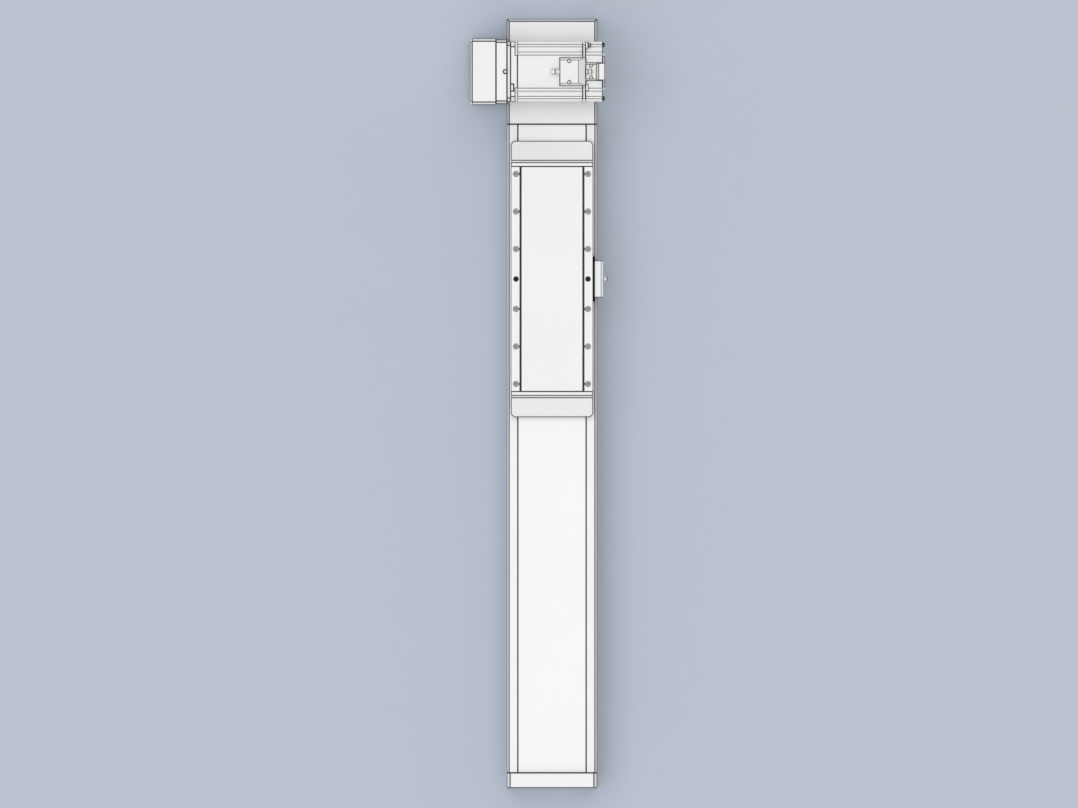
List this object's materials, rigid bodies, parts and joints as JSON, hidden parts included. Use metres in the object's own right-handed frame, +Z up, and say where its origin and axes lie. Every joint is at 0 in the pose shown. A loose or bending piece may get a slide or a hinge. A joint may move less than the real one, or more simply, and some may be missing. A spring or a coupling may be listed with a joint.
{
  "type": "belt-driven linear actuator",
  "caption": "Enclosed linear actuator: aluminium profile, belt-driven carriage on rails, steel cover strip, and a servo motor beside the drive head.",
  "frame": {"origin": "middle of the flat mounting face under the body, halfway along the overall length", "axes": "+X across, away from the side belt box; +Y along the travel towards the drive head; +Z up, out of the carriage's top"},
  "size_m": [0.1834, 1.025, 0.1968],
  "materials": {
    "anodised_profile": "clear anodised, satin",
    "magnet": "matt",
    "strip_steel": "brushed along its length",
    "machined_aluminium": "clear anodised, satin",
    "cover_panel": "satin",
    "screw_steel": "blackened",
    "buffer_rubber": "matt",
    "guide_steel": "ground",
    "block_plastic": "matt",
    "seal_rubber": "matt",
    "cap_plastic": "fine grain",
    "belt_polymer": "matt",
    "pulley_steel": "machined",
    "shaft_steel": "ground",
    "bearing_steel": "ground",
    "box_paint": "powder coated, satin",
    "motor_paint": "satin",
    "rear_label_plate": "satin",
    "connector_shell": "fine grain",
    "gland_metal": "turned",
    "plug_plastic": "smooth"
  },
  "bodies": {
    "base": {"body_extrusion": "anodised_profile", "magnet_strips": "magnet", "cover_strip": "strip_steel", "strip_clamps": "machined_aluminium", "head_housing": "machined_aluminium", "head_cover": "machined_aluminium", "tail_block": "machined_aluminium", "bearing_cap": "machined_aluminium", "idler_bracket": "machined_aluminium", "side_box_base": "machined_aluminium", "motor_adapter": "machined_aluminium", "tail_screws": "screw_steel", "tension_screws": "screw_steel", "rear_screws": "screw_steel", "connector_screws": "screw_steel", "tension_screw": "screw_steel", "bumpers": "buffer_rubber", "rail_left": "guide_steel", "rail_right": "guide_steel", "drive_belt": "belt_polymer", "side_belt": "belt_polymer", "idler_axle": "shaft_steel", "drive_bearing_left": "bearing_steel", "drive_bearing_right": "bearing_steel", "side_box_cover": "box_paint", "motor_flange": "motor_paint", "motor_body": "motor_paint", "motor_bracket": "motor_paint", "encoder_cover": "motor_paint", "rear_cap": "rear_label_plate", "power_connector": "connector_shell", "encoder_connector": "connector_shell", "cable_glands": "gland_metal", "ground_terminal": "gland_metal", "blanking_plug": "plug_plastic"},
    "carriage": {"guide_block_head_left": "guide_steel", "guide_block_head_right": "guide_steel", "guide_block_tail_left": "guide_steel", "guide_block_tail_right": "guide_steel", "block_end_caps": "block_plastic", "saddle": "machined_aluminium", "carriage_table": "machined_aluminium", "centre_cover": "cover_panel", "end_frames": "machined_aluminium", "end_seals": "seal_rubber", "end_cap_head": "cap_plastic", "end_cap_tail": "cap_plastic", "end_cap_screws": "screw_steel", "strip_shoes": "block_plastic", "belt_clamp_head": "machined_aluminium", "belt_clamp_tail": "machined_aluminium", "sensor_dog": "machined_aluminium", "dog_screws": "screw_steel"},
    "drive_shaft_group": {"drive_pulley": "pulley_steel", "drive_shaft": "shaft_steel", "side_driven_pulley": "pulley_steel"},
    "idler_group": {"idler_pulley": "pulley_steel", "idler_bearing": "bearing_steel"},
    "motor_rotor": {"motor_pulley": "pulley_steel", "motor_shaft": "shaft_steel"}
  },
  "joints": [
    {"name": "carriage_slide", "type": "slide", "parent": "base", "child": "carriage", "axis": [0, -1, 0], "range_m": [-0.01, 0.46], "deforming": ["cover_strip", "drive_belt", "side_belt"]},
    {"name": "drive_shaft_spin", "type": "hinge", "parent": "base", "child": "drive_shaft_group", "pos_m": [0, 0.4425, 0.04704], "axis": [1, 0, 0], "continuous": true},
    {"name": "idler_spin", "type": "hinge", "parent": "base", "child": "idler_group", "pos_m": [0, -0.4575, 0.04704], "axis": [1, 0, 0], "continuous": true},
    {"name": "motor_spin", "type": "hinge", "parent": "base", "child": "motor_rotor", "pos_m": [0, 0.4425, 0.13444], "axis": [1, 0, 0], "continuous": true}
  ],
  "couplings": [
    {"joint": "drive_shaft_spin", "follows": "carriage_slide", "rad_per_m": 39.27},
    {"joint": "idler_spin", "follows": "carriage_slide", "rad_per_m": 39.27},
    {"joint": "motor_spin", "follows": "carriage_slide", "rad_per_m": 65.45}
  ]
}
